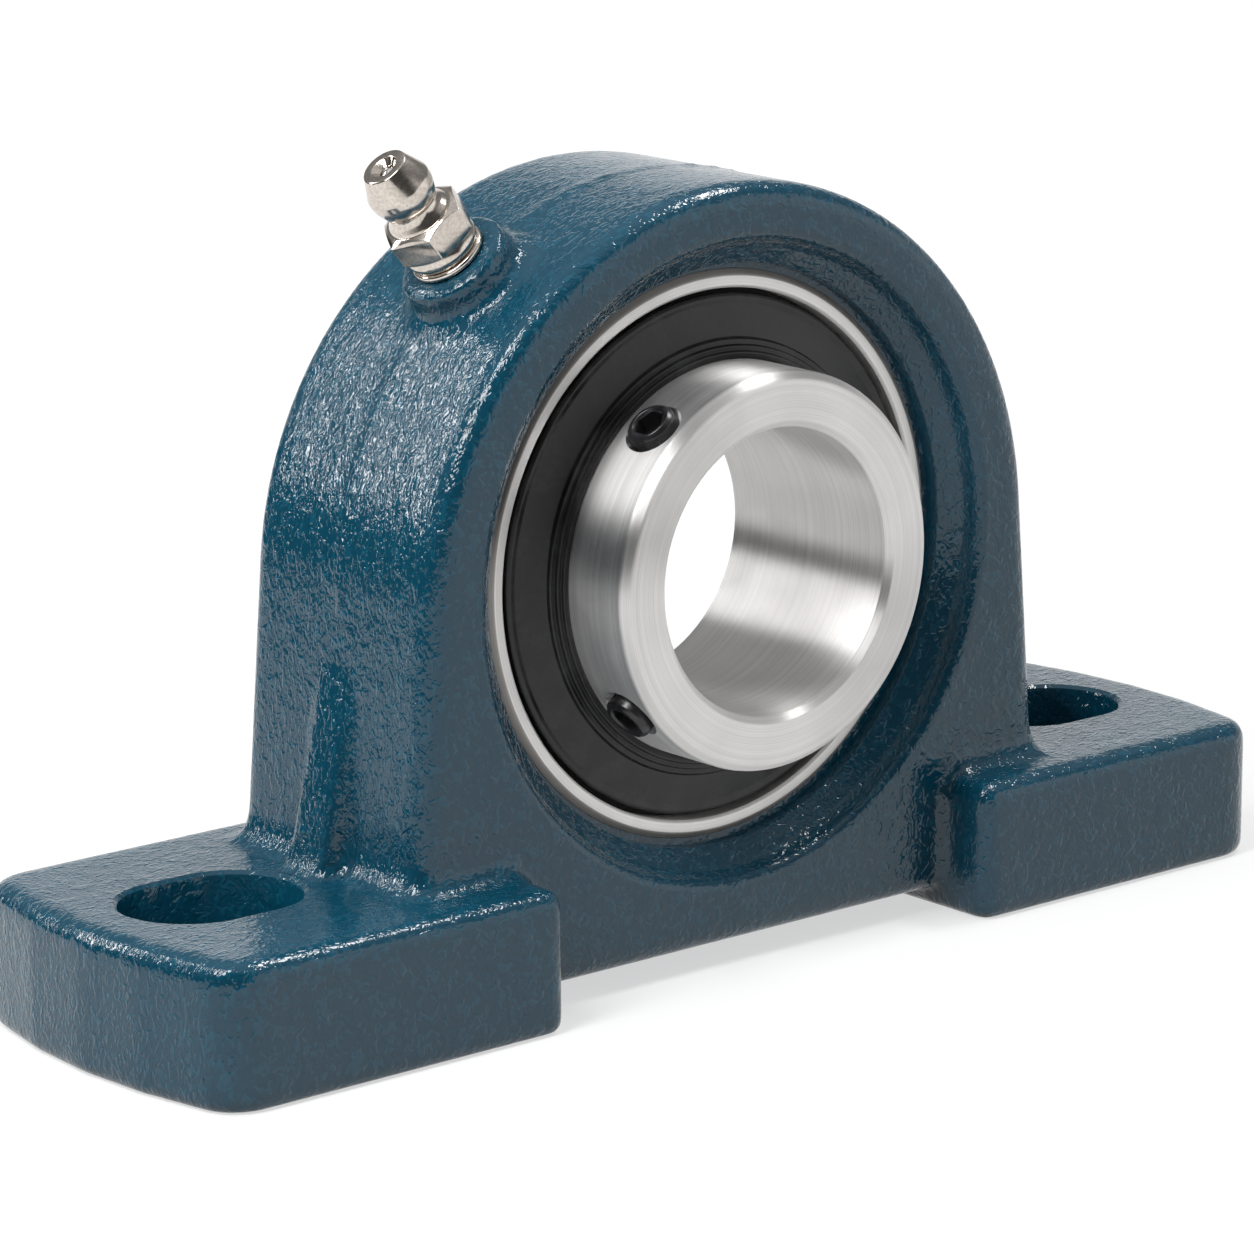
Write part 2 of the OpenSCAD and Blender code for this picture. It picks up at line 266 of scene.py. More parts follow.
def merged_copy(node: bpy.types.Object, name: str) -> bpy.types.Object:
    """A copy of a CAD node with its loose triangles joined.

    Args:
        node: The CAD node.
        name: Name of the copy.

    Returns:
        The copy.
    """
    bm = bmesh.new()
    bm.from_mesh(node.data)
    bmesh.ops.remove_doubles(bm, verts=bm.verts[:], dist=WELD_GAP)
    return new_object(name, bm)


# Material helpers


def grey(value: float) -> tuple[float, float, float, float]:
    """A grey as a shader colour."""
    return value, value, value, 1.0


class Shades:
    """Short ways to add and link shader nodes in one tree."""

    def __init__(self, tree: bpy.types.NodeTree) -> None:
        """Keeps the tree that the nodes go into."""
        self.tree = tree

    def add(self, kind: str, ins: dict[str | int, object] | None = None,
            **settings: object) -> bpy.types.Node:
        """Adds a node.

        Args:
            kind: Node type, without its ShaderNode prefix unless it has another.
            ins: Values or sockets for its inputs, by name or number.
            **settings: Properties of the node.

        Returns:
            The new node.
        """
        node = self.tree.nodes.new(kind if kind.startswith("Node") else "ShaderNode" + kind)
        for key, value in settings.items():
            setattr(node, key, value)
        for key, value in (ins or {}).items():
            if isinstance(value, bpy.types.NodeSocket):
                self.tree.links.new(value, node.inputs[key])
            else:
                node.inputs[key].default_value = value
        return node

    def math(self, op: str, *values: object) -> bpy.types.NodeSocket:
        """Adds a Math node and returns its result."""
        return self.add("Math", dict(enumerate(values)), operation=op).outputs[0]

    def remap(self, value: object, low: float, high: float, to_low: float = 0.0,
              to_high: float = 1.0) -> bpy.types.NodeSocket:
        """Adds a smooth Map Range node and returns its result."""
        return self.add("MapRange", {0: value, 1: low, 2: high, 3: to_low, 4: to_high},
                        interpolation_type="SMOOTHSTEP").outputs[0]

    def mix(self, factor: object, a: object, b: object) -> bpy.types.NodeSocket:
        """Adds a colour Mix node and returns its result."""
        node = self.add("Mix", data_type="RGBA")
        for key, value in ((0, factor), (6, a), (7, b)):
            if isinstance(value, bpy.types.NodeSocket):
                self.tree.links.new(value, node.inputs[key])
            else:
                node.inputs[key].default_value = value
        return node.outputs[2]

    def noise(self, vector: bpy.types.NodeSocket, scale: float, detail: float = 2.0, rough: float = 0.5,
              distort: float = 0.0) -> bpy.types.NodeSocket:
        """Adds a Noise Texture and returns its value."""
        return self.add("TexNoise", {"Vector": vector, "Scale": scale, "Detail": detail,
                                     "Roughness": rough, "Distortion": distort}).outputs[0]

    def scaled(self, vector: bpy.types.NodeSocket, factor: object) -> bpy.types.NodeSocket:
        """Adds a Vector Math node that scales a vector and returns its result."""
        return self.add("VectorMath", {0: vector, "Scale": factor}, operation="SCALE").outputs[0]

    def total(self, parts: Iterable[tuple[bpy.types.NodeSocket, float]]) -> bpy.types.NodeSocket:
        """Adds up values by their weights and returns the sum."""
        products = [self.math("MULTIPLY", part, weight) for part, weight in parts]
        result = products[0]
        for product in products[1:]:
            result = self.math("ADD", result, product)
        return result

    def end(self, out: bpy.types.Node, **values: bpy.types.NodeSocket) -> bpy.types.NodeTree:
        """Links a group's outputs by name and returns the group."""
        for label, value in values.items():
            self.tree.links.new(value, out.inputs[label])
        return self.tree


def start_group(name: str, ins: dict[str, object],
                outs: Sequence[str]) -> tuple[Shades, bpy.types.Node, bpy.types.Node]:
    """Starts a shader node group that takes a Vector and plain numbers and puts out numbers.

    Args:
        name: Name of the group.
        ins: Name of each number that it takes, to its default value.
        outs: Name of each number that it puts out.

    Returns:
        The group's node helper, its input node and its output node.
    """
    tree = bpy.data.node_groups.new(name, "ShaderNodeTree")
    tree.interface.new_socket("Vector", in_out="INPUT", socket_type=VECTOR)
    for label, value in ins.items():
        tree.interface.new_socket(label, in_out="INPUT", socket_type=FLOAT).default_value = value
    for label in outs:
        tree.interface.new_socket(label, in_out="OUTPUT", socket_type=FLOAT)
    s = Shades(tree)
    return s, s.add("NodeGroupInput"), s.add("NodeGroupOutput")


def cast_skin_group() -> bpy.types.NodeTree:
    """Group for the wrinkled, sand-cast skin under the paint, finer along the shaft.

    Returns:
        A group that puts out a height and a mask that is low in its hollows; the enamel paints shade into the
        skin where the mask is low.
    """
    stretch = (1.0, 1.7, 1.0)
    swell_scale, plate_scale, curl_scale, drop_scale = 260.0, 440.0, 820.0, 640.0
    crease_width, curl_width = 0.2, 0.24
    drop_share, drop_size = (0.55, 0.6), (0.34, 0.1)
    s, gin, out = start_group("cast skin", {"Grain size": 1.0}, ("Height", "Hollows"))
    at = s.scaled(gin.outputs["Vector"], gin.outputs["Grain size"])
    drawn = s.add("VectorMath", {0: at, 1: stretch}, operation="MULTIPLY").outputs[0]
    swell = s.noise(at, swell_scale, 1.0, 0.4, 0.6)
    plates = s.noise(drawn, plate_scale, 0.0, 0.4, 1.1)
    curls = s.noise(drawn, curl_scale, 0.0, 0.4, 1.3)
    crease = s.remap(s.math("ABSOLUTE", s.math("SUBTRACT", plates, 0.5)), 0.0, crease_width)
    curl = s.remap(s.math("ABSOLUTE", s.math("SUBTRACT", curls, 0.5)), 0.0, curl_width)
    cell = s.add("TexVoronoi", {"Vector": drawn, "Scale": drop_scale, "Randomness": 1.0})
    keep = s.remap(s.add("SeparateColor", {0: cell.outputs["Color"]}).outputs[0], *drop_share)
    drop = s.math("MULTIPLY", s.remap(cell.outputs["Distance"], *drop_size), keep)
    height = s.total(((swell, 0.4), (plates, 0.34), (crease, 0.10), (curls, 0.28), (curl, 0.12),
                      (drop, 0.20)))
    # Hollows: low in the skin's creases and hollows, where the enamel's colour is darkened as painted shade.
    hollows = s.math("MULTIPLY", s.remap(curl, 0.0, 0.8), s.remap(curls, 0.34, 0.62))
    return s.end(out, Height=height, Hollows=hollows)


def tool_rings_group() -> bpy.types.NodeTree:
    """Group for the fine rings that turning and grinding leave about the shaft axis.

    Returns:
        A group that puts out a ring height, a streak value, a slow stain and the radius.
    """
    fine_scale, broad_scale, drift_scale, stain_scale = 9000.0, 1500.0, 60.0, 90.0
    drift_depth = 0.00006
    s, gin, out = start_group("tool rings", {"Pitch": 1.0}, ("Height", "Streaks", "Stain", "Radius"))
    part = s.add("SeparateXYZ", {0: gin.outputs["Vector"]})
    radius = s.math("SQRT", s.math("ADD", s.math("MULTIPLY", part.outputs[0], part.outputs[0]),
                                   s.math("MULTIPLY", part.outputs[2], part.outputs[2])))
    drift = s.noise(gin.outputs["Vector"], drift_scale, 1.0)
    y = s.math("ADD", part.outputs[1], s.math("MULTIPLY", drift, drift_depth))
    ring = s.add("CombineXYZ", {0: s.math("MULTIPLY", radius, gin.outputs["Pitch"]),
                                1: s.math("MULTIPLY", y, gin.outputs["Pitch"]), 2: 0.0}).outputs[0]
    lines = s.total(((s.noise(ring, fine_scale, 2.0, 0.7), 0.6), (s.noise(ring, broad_scale, 3.0, 0.6), 0.4)))
    stain = s.remap(s.noise(gin.outputs["Vector"], stain_scale, 4.0, 0.6), 0.35, 0.7)
    return s.end(out, Height=lines, Radius=radius, Streaks=s.remap(lines, 0.38, 0.62), Stain=stain)


def handling_group() -> bpy.types.NodeTree:
    """Group for the smudges of a handled surface.

    Returns:
        A group that puts out the smudges.
    """
    smudge_scale = 170.0
    s, gin, out = start_group("handling", {"Size": 1.0}, ("Smudges",))
    at = s.scaled(gin.outputs["Vector"], gin.outputs["Size"])
    smudge = s.noise(at, smudge_scale, 5.0, 0.62, 0.3)
    return s.end(out, Smudges=s.remap(smudge, 0.4, 0.68))


class Finish:
    """Base of every finish: a cached material that reads the piece's own Object coordinates."""

    name = "finish"
    makers = {"cast skin": cast_skin_group, "tool rings": tool_rings_group, "handling": handling_group}
    groups: dict[str, bpy.types.NodeTree] = {}
    made: dict[str, bpy.types.Material] = {}

    def material(self) -> bpy.types.Material:
        """Returns the finish's material, which is built once."""
        if self.name not in Finish.made:
            mat = bpy.data.materials.new(self.name)
            mat.use_nodes = True
            mat.node_tree.nodes.clear()
            s = Shades(mat.node_tree)
            bsdf = s.add("BsdfPrincipled")
            s.add("OutputMaterial", {0: bsdf.outputs[0]})
            self.dress(s, bsdf, s.add("TexCoord").outputs["Object"])
            Finish.made[self.name] = mat
        return Finish.made[self.name]

    def group(self, s: Shades, name: str, at: bpy.types.NodeSocket, **ins: float) -> bpy.types.Node:
        """Places a shared effect in a material.

        Args:
            s: The material's node helper.
            name: The group's name.
            at: Coordinates for its Vector input.
            **ins: Values of its other inputs, with _ for spaces.

        Returns:
            The group node.
        """
        if name not in Finish.groups:
            Finish.groups[name] = Finish.makers[name]()
        node = s.add("Group", node_tree=Finish.groups[name])
        s.tree.links.new(at, node.inputs["Vector"])
        for key, value in ins.items():
            node.inputs[key.replace("_", " ")].default_value = value
        return node

    def smudged(self, s: Shades, at: bpy.types.NodeSocket, size: float, rough: object,
                depth: float) -> tuple[bpy.types.NodeSocket, bpy.types.NodeSocket]:
        """Roughens a surface where it was handled.

        Args:
            s: The material's node helper.
            at: Coordinates.
            size: Scale of the smudges.
            rough: Roughness between them.
            depth: How much rougher they are.

        Returns:
            The roughness and the smudges.
        """
        wear = self.group(s, "handling", at, Size=size).outputs["Smudges"]
        return s.math("ADD", rough, s.math("MULTIPLY", wear, depth)), wear

    def dress(self, s: Shades, bsdf: bpy.types.Node, at: bpy.types.NodeSocket) -> None:
        """Links the finish's own nodes to its shader."""
        raise NotImplementedError

    @staticmethod
    def set(bsdf: bpy.types.Node, values: dict[str, object]) -> None:
        """Sets or links inputs of the shader by name."""
        for key, value in values.items():
            if isinstance(value, bpy.types.NodeSocket):
                bsdf.id_data.links.new(value, bsdf.inputs[key])
            else:
                bsdf.inputs[key].default_value = value

    @staticmethod
    def put(obj: bpy.types.Object, mat: bpy.types.Material) -> None:
        """Gives a whole piece one material."""
        obj.data.materials.clear()
        obj.data.materials.append(mat)


@dataclass(frozen=True)
class CastEnamel(Finish):
    """Glossy teal-blue enamel over a rough casting, with painted shade in the skin's creases and hollows."""

    name: str = "cast_enamel"
    colour: Point = (0.0036, 0.068, 0.116)
    # Painted shade: the darker enamel colour that the skin's creases and hollows take.
    crease_shade: Point = (0.0024, 0.050, 0.087)
    roughness: float = 0.07
    smudge: float = 0.05
    relief: float = 0.00021

    def dress(self, s: Shades, bsdf: bpy.types.Node, at: bpy.types.NodeSocket) -> None:
        """Links the skin's relief, the paint's tone with its painted shade in the hollows, and its gloss."""
        skin = self.group(s, "cast skin", at, Grain_size=1.0)
        # Painted shade: the tone turns darker in the skin's hollows and creases.
        tone = s.mix(skin.outputs["Hollows"], (*self.crease_shade, 1), (*self.colour, 1))
        bump = s.add("Bump", {"Strength": 1.0, "Distance": self.relief, "Height": skin.outputs["Height"]})
        rough, _ = self.smudged(s, at, 0.8, self.roughness, self.smudge)
        self.set(bsdf, {"Base Color": tone, "Roughness": rough, "Specular IOR Level": 0.5,
                        "Normal": bump.outputs[0]})


@dataclass(frozen=True)
class TurnedSteel(Finish):
    """Bright steel with fine rings about the shaft, and duller steel outside a given radius."""

    name: str = "turned_steel"
    colour: Point = (0.74, 0.73, 0.72)
    dull: Point = (0.60, 0.59, 0.58)
    outer: Point = (0.30, 0.285, 0.27)
    outer_r: float = 1.0
    outer_blend: float = 0.0001
    stain: float = 0.25
    roughness: float = 0.38
    streak: float = 0.06
    smudge: float = 0.04
    bump: float = 0.12
    depth: float = 0.00002
    pitch: float = 1.0
    anisotropy: float = 0.9
    quarter_turn: float = 0.25

    def dress(self, s: Shades, bsdf: bpy.types.Node, at: bpy.types.NodeSocket) -> None:
        """Links the rings to the colour, the gloss and the relief."""
        rings = self.group(s, "tool rings", at, Pitch=self.pitch).outputs
        tone = s.mix(rings["Streaks"], (*self.dull, 1), (*self.colour, 1))
        tone = s.mix(s.math("MULTIPLY", rings["Stain"], self.stain), tone, (*self.dull, 1))
        outside = s.remap(rings["Radius"], self.outer_r, self.outer_r + self.outer_blend)
        tone = s.mix(outside, tone, (*self.outer, 1))
        rough = s.math("ADD", self.roughness, s.math("MULTIPLY", rings["Streaks"], self.streak))
        rough, _ = self.smudged(s, at, 1.0, rough, self.smudge)
        bump = s.add("Bump", {"Strength": self.bump, "Distance": self.depth, "Height": rings["Height"]})
        tangent = s.add("Tangent", direction_type="RADIAL", axis="Y")
        self.set(bsdf, {"Base Color": tone, "Metallic": 1.0, "Roughness": rough,
                        "Anisotropic": self.anisotropy, "Anisotropic Rotation": self.quarter_turn,
                        "Normal": bump.outputs[0], "Tangent": tangent.outputs[0]})


@dataclass(frozen=True)
class PlainMetal(Finish):
    """Metal with a fine grain that follows no axis."""

    name: str = "plain_metal"
    colour: Point = (0.7, 0.68, 0.65)
    dull: Point = (0.5, 0.48, 0.46)
    roughness: float = 0.2
    smudge: float = 0.1
    grain: float = 2600.0
    bump: float = 0.08
    depth: float = 0.00003

    def dress(self, s: Shades, bsdf: bpy.types.Node, at: bpy.types.NodeSocket) -> None:
        """Links the grain to the colour, the gloss and the relief."""
        grain = s.noise(at, self.grain, 3.0, 0.6)
        tone = s.mix(s.remap(grain, 0.35, 0.65), (*self.dull, 1), (*self.colour, 1))
        rough, _ = self.smudged(s, at, 2.0, self.roughness, self.smudge)
        bump = s.add("Bump", {"Strength": self.bump, "Distance": self.depth, "Height": grain})
        self.set(bsdf, {"Base Color": tone, "Metallic": 1.0, "Roughness": rough, "Normal": bump.outputs[0]})


@dataclass(frozen=True)
class BlackCoat(Finish):
    """Satin black coating or oxide."""

    name: str = "black_coat"
    colour: Point = (0.012, 0.012, 0.013)
    worn: Point = (0.03, 0.03, 0.032)
    roughness: float = 0.38
    smudge: float = 0.1
    grain: float = 1800.0
    bump: float = 0.12
    depth: float = 0.00003
    specular: float = 0.5

    def dress(self, s: Shades, bsdf: bpy.types.Node, at: bpy.types.NodeSocket) -> None:
        """Links the coat's grain and smudges."""
        grain = s.noise(at, self.grain, 3.0, 0.6)
        rough, wear = self.smudged(s, at, 1.2, self.roughness, self.smudge)
        tone = s.mix(wear, (*self.colour, 1), (*self.worn, 1))
        bump = s.add("Bump", {"Strength": self.bump, "Distance": self.depth, "Height": grain})
        self.set(bsdf, {"Base Color": tone, "Roughness": rough, "Specular IOR Level": self.specular,
                        "Normal": bump.outputs[0]})


class Finishes(Enum):
    """The finishes of the part's pieces."""

    ENAMEL = CastEnamel()
    GROUND = TurnedSteel()
    SATIN = TurnedSteel(name="satin_steel", roughness=0.36, pitch=0.8, outer_r=0.0339)
    SHIELD = BlackCoat(name="black_shield", roughness=0.3, specular=0.4, colour=(0.006, 0.006, 0.006))
    OXIDE = BlackCoat(name="black_oxide", roughness=0.26, colour=(0.008, 0.008, 0.009))
    RUBBER = BlackCoat(name="seal_rubber", roughness=0.6, grain=3200.0, bump=0.3)
    NICKEL = PlainMetal("nickel_plate", (0.64, 0.585, 0.53), (0.52, 0.47, 0.42), roughness=0.12)
    SHEET = PlainMetal("pressed_sheet", (0.62, 0.6, 0.55), (0.45, 0.43, 0.4), roughness=0.36)
    POLISH = PlainMetal("polished_ball", (0.8, 0.8, 0.8), (0.74, 0.74, 0.75), roughness=0.06)
    WIRE = PlainMetal("spring_wire", (0.5, 0.5, 0.5), (0.38, 0.38, 0.39), roughness=0.3)

    def on(self, obj: bpy.types.Object) -> None:
        """Puts this finish on a whole piece."""
        Finish.put(obj, self.value.material())


def fit_piece(obj: bpy.types.Object, body: str, nodes: Sequence[str]) -> None:
    """Seats a finished piece on its body in place of CAD nodes.

    Args:
        obj: The piece.
        body: CAD body that it moves with.
        nodes: CAD nodes that it stands for.
    """
    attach(obj, body)
    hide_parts(*nodes)
    LOG.info("%s rides on %s, %d faces", obj.name, body, len(obj.data.polygons))


# Sub-assemblies


@dataclass
class Casting:
    """The housing: a softened copy of the CAD casting with its machined seat and slots recut."""

    voxel: float = 0.7
    smooth_rounds: int = 6
    centre_h: float = 49.8
    face_front: float = 15.3
    face_back: float = 19.5
    middle: float = 2.1
    foot_t: float = 17.5
    plug_r: float = 42.0
    seat_r: float = 36.03
    strip_y: float = 9.3
    step: Pair = (35.6, 11.0)
    step_round: float = 0.25
    cone_end: Pair = (38.1, 12.9)
    cone_round: float = 0.4
    wall_r: float = 38.7
    lip: float = 1.7
    lip_angles: tuple[float, ...] = (10, 22, 34, 46, 58, 70, 82)
    lip_flare: Pair = (0.9, 0.25)
    clear: float = 3.0
    slot_pitch: float = 133.4
    slot_len: float = 22.4
    slot_w: float = 17.0
    slot_rim: float = 0.8
    slot_fill: float = 1.0
    pin_r: float = 1.55
    pin_y: float = 5.0
    pin_z: Pair = (30.0, 39.0)
    load_half: Pair = (36.15, 10.3)
    load_y: float = 0.5
    load_rest: float = 2.5

    def softened(self, node: bpy.types.Object) -> bpy.types.Object:
        """Remeshes the casting with its recess and slots filled, and eases its edges.

        Args:
            node: The CAD housing.

        Returns:
            The blank, still without its machined faces.
        """
        blank = merged_copy(node, "cast_housing")
        fills = [turned("plug", [Corner(0, -self.face_front), Corner(self.plug_r, -self.face_front),
                                 Corner(self.plug_r, self.face_back), Corner(0, self.face_back)],
                        steps=96, closed=False)]
        foot_z = self.foot_t - self.centre_h
        for side in (-1, 1):
            x = side * self.slot_pitch / 2
            half_x, half_y = self.slot_len / 2 + self.slot_fill, self.slot_w / 2 + self.slot_fill
            fills.append(block("fill", (x - half_x, self.middle - half_y, -self.centre_h),
                               (x + half_x, self.middle + half_y, foot_z)))
        bm = bmesh.new()
        bm.from_mesh(blank.data)
        for fill in fills:
            bm.from_mesh(fill.data)
            bpy.data.objects.remove(fill)
        bm.to_mesh(blank.data)
        bm.free()
        remesh = blank.modifiers.new("skin", "REMESH")
        remesh.mode = "VOXEL"
        remesh.voxel_size = self.voxel * MM
        smooth = blank.modifiers.new("ease", "SMOOTH")
        smooth.factor = 0.5
        smooth.iterations = self.smooth_rounds
        return settle(blank)

    def recess_side(self, face: float) -> list[Corner]:
        """Corners of a recess: the strip beside the ring, a step, a cone and the rounded lip.

        Args:
            face: Distance of the housing's face from the seat's centre.

        Returns:
            The corners, from the strip outward, for a face at +Y.
        """
        lip_r, lip_y = self.wall_r + self.lip, face - self.lip
        turns = [math.radians(a) for a in self.lip_angles]
        arc = [Corner(lip_r - self.lip * math.cos(a), lip_y + self.lip * math.sin(a)) for a in turns]
        step_r, step_y = self.step
        flare_r, flare_y = self.lip_flare
        return [Corner(step_r, self.strip_y + 0.1), Corner(step_r, step_y, self.step_round),
                Corner(*self.cone_end, self.cone_round), *arc,
                Corner(lip_r + flare_r, face + flare_y), Corner(lip_r + flare_r, face + self.clear)]

    def seat_cutter(self) -> bpy.types.Object:
        """The turned cutter of the two recesses, their strips and the spherical seat."""
        tilt = math.asin(self.strip_y / self.seat_r)
        seat = [Corner(self.seat_r * math.cos(tilt * k / 4), self.seat_r * math.sin(tilt * k / 4))
                for k in range(-4, 5)]
        front = [Corner(c.r, -c.h, c.round) for c in reversed(self.recess_side(self.face_front))]
        back = self.recess_side(self.face_back)
        ends = Corner(0, front[0].h), Corner(0, back[-1].h)
        return turned("seat_cutter", [ends[0]] + front + seat + back + [ends[1]], steps=240, closed=False)

    def slot_cutter(self, side: int) -> bpy.types.Object:
        """A bolt slot's cutter with a flared top edge.

        Args:
            side: -1 for the left foot, 1 for the right.

        Returns:
            The cutter.
        """
        r, half = self.slot_w / 2 * MM, (self.slot_len - self.slot_w) / 2 * MM
        top, rim = (self.foot_t - self.centre_h) * MM, self.slot_rim * MM
        bm = bmesh.new()
        ring = bmesh.ops.create_circle(bm, cap_ends=False, segments=96, radius=r)["verts"]
        for vert in ring:
            vert.co.x += math.copysign(half, vert.co.x)
            vert.co.z = -self.centre_h * MM - 0.002
        edges = bm.edges[:]
        for height, grow in ((top - rim, 0.0), (top - 0.5 * rim, 0.18 * rim), (top + 0.1 * rim, rim),
                             (top + 0.006, rim)):
            new = bmesh.ops.extrude_edge_only(bm, edges=edges)["geom"]
            edges = [g for g in new if isinstance(g, bmesh.types.BMEdge)]
            for vert in (g for g in new if isinstance(g, bmesh.types.BMVert)):
                centre = Vector((math.copysign(half, vert.co.x), 0, 0))
                out = Vector((vert.co.x, vert.co.y, 0)) - centre
                vert.co = centre + out.normalized() * (r + grow)
                vert.co.z = height
        bmesh.ops.holes_fill(bm, edges=bm.edges[:])
        bmesh.ops.translate(bm, vec=(side * self.slot_pitch / 2 * MM, self.middle * MM, 0), verts=bm.verts[:])
        bmesh.ops.recalc_face_normals(bm, faces=bm.faces[:])
        return new_object("slot_cutter", bm)

    def build(self, node: bpy.types.Object) -> bpy.types.Object:
        """Makes the finished casting.

        Args:
            node: The CAD housing.

        Returns:
            The painted piece.
        """
        body = self.softened(node)
        load_x, load_z = self.load_half
        pin_low, pin_high = self.pin_z
        cut(body, [block("floor_cut", (-100, -40, -self.centre_h - 5), (100, 40, -self.centre_h)),
                   self.seat_cutter(), self.slot_cutter(-1), self.slot_cutter(1),
                   block("pin_slot", (-self.pin_r, -self.pin_y, pin_low), (self.pin_r, self.pin_y, pin_high)),
                   block("load_slot", (-load_x, self.load_y, -load_z),
                         (load_x, self.face_back - self.load_rest, load_z))])
        Finishes.ENAMEL.on(body)
        fit_piece(body, "block", ["housing"])
        return body


@dataclass
class Insert:
    """The insert bearing's turned rings, shield and seals."""

    inner_r: float = 24.2
    bore_r: float = 17.5
    front: float = 22.0
    back: float = 7.0
    pitch_r: float = 27.6
    groove_r: float = 4.8
    outer_r: float = 36.0
    outer_half: float = 10.0
    sphere_y: float = 9.35
    face_r: float = 34.0
    face_round: float = 0.3
    mouth: Pair = (0.3, 0.35)
    edge: float = 0.1
    shoulder_r: float = 31.0
    shoulder_y: float = 5.9
    seal_r: float = 32.5
    bore_bevel: float = 0.8
    nose: Pair = (1.0, 1.1)
    back_bevel: float = 0.5
    screw_angles: Pair = (129.0, 219.0)
    screw_y: float = -16.5
    screw_hole_r: float = 3.05
    seal_gap: float = 0.12

    def groove(self, r: float, outward: bool) -> list[Corner]:
        """Corners of a ball groove, from the front shoulder to the back one.

        Args:
            r: Radius of the shoulder beside it.
            outward: True where the groove is cut outward, in the outer ring.

        Returns:
            Corners along the groove.
        """
        off = r - self.pitch_r
        reach = math.degrees(math.acos(abs(off) / self.groove_r))
        sign = 1 if outward else -1
        angles = [reach * k / 7 for k in range(-7, 8)]
        return [Corner(self.pitch_r + sign * self.groove_r * math.cos(math.radians(a)),
                       self.groove_r * math.sin(math.radians(a))) for a in angles]

    def outer_ring(self) -> bpy.types.Object:
        """The outer ring with its spherical outside."""
        half, sy, seal, face = self.outer_half, self.shoulder_y, self.seal_r, self.face_round
        mouth_r, mouth_y = self.mouth
        tilt = math.degrees(math.asin(self.sphere_y / self.outer_r))
        turns = [math.radians(tilt * k / 8) for k in range(-8, 9)]
        ball = [Corner(self.outer_r * math.cos(a), self.outer_r * math.sin(a)) for a in turns]
        shoulder = self.shoulder_r
        inside = [Corner(shoulder, -sy), *self.groove(shoulder, True), Corner(shoulder, sy)]
        section = [Corner(seal, -sy), Corner(seal, mouth_y - half), Corner(seal + mouth_r, -half, self.edge),
                   Corner(self.face_r, -half, face), *ball, Corner(self.face_r, half, face),
                   Corner(seal + mouth_r, half, self.edge), Corner(seal, half - mouth_y), Corner(seal, sy),
                   *reversed(inside)]
        piece = turned("outer_race", section, steps=240)
        Finishes.SATIN.on(piece)
        fit_piece(piece, "outer", ["outer_ring"])
        return piece

    def inner_ring(self) -> bpy.types.Object:
        """The inner ring with its ball groove and the two flared screw holes."""
        r, front, back, bevel = self.inner_r, self.front, self.back, self.bore_bevel
        nose_r, nose_y = self.nose
        section = [Corner(self.bore_r, bevel - front), Corner(self.bore_r + bevel, -front, self.edge),
                   Corner(r - nose_r, -front, self.face_round), Corner(r, nose_y - front, self.face_round),
                   *self.groove(r, False), Corner(r, back - self.back_bevel),
                   Corner(r - self.back_bevel, back), Corner(self.bore_r + bevel, back),
                   Corner(self.bore_r, back - bevel)]
        piece = turned("inner_race", section, steps=240, arc=8)
        tools = []
        for angle in self.screw_angles:
            place = radial_frame(angle, self.screw_y)
            tools.append(cylinder("hole", self.screw_hole_r, self.bore_r - 3, r + 3, place))
            tools.append(cylinder("flare", self.screw_hole_r - 0.1, r - 1.1, r + 0.7, place,
                                  r_high=self.screw_hole_r + 1.3))
        cut(piece, tools)
        Finishes.GROUND.on(piece)
        fit_piece(piece, "inner", ["inner_ring"])
        return piece

    def slinger(self) -> bpy.types.Object:
        """The dished black shield with the steps at its hub."""
        r = self.inner_r
        shape = [(r, -8.6), (25.4, -8.6), (26.4, -9.8), (31.0, -8.9), (31.0, -8.3), (31.6, -8.3),
                 (31.85, -9.35, 0.22), (31.3, -9.7, 0.22), (30.6, -9.5, 0.15), (26.7, -10.65, 0.1),
                 (26.5, -11.15, 0.16), (25.9, -11.1, 0.08), (25.75, -11.6, 0.16), (25.2, -11.5, 0.08),
                 (25.05, -11.95, 0.16), (24.5, -11.85, 0.08), (r, -11.7)]
        piece = turned("slinger_shield", shape, steps=240, arc=4)
        Finishes.SHIELD.on(piece)
        fit_piece(piece, "inner", ["slinger_front"])
        return piece

    def seal(self, side: int, node: str) -> bpy.types.Object:
        """A rubber-lipped seal.

        Args:
            side: -1 for the front, 1 for the back.
            node: CAD node that it stands for.

        Returns:
            The seal.
        """
        lip = self.inner_r + self.seal_gap
        shape = [(lip, 5.5, 0), (25.0, 5.8, 0.2), (26.5, 6.0, 0), (32.45, 6.0, 0), (32.45, 7.0, 0.25),
                 (31.6, 6.8, 0.2), (26.5, 6.6, 0.3), (25.4, 6.75, 0.2), (lip, 6.4, 0.1)]
        piece = turned(f"{node}_lip", [Corner(a, side * b, c) for a, b, c in shape], steps=192)
        Finishes.RUBBER.on(piece)
        fit_piece(piece, "outer", [node])
        return piece

    def build(self) -> None:
        """Makes every turned piece of the insert."""
        self.outer_ring()
        self.inner_ring()
        self.slinger()
        self.seal(-1, "seal_front")
        self.seal(1, "seal_rear")


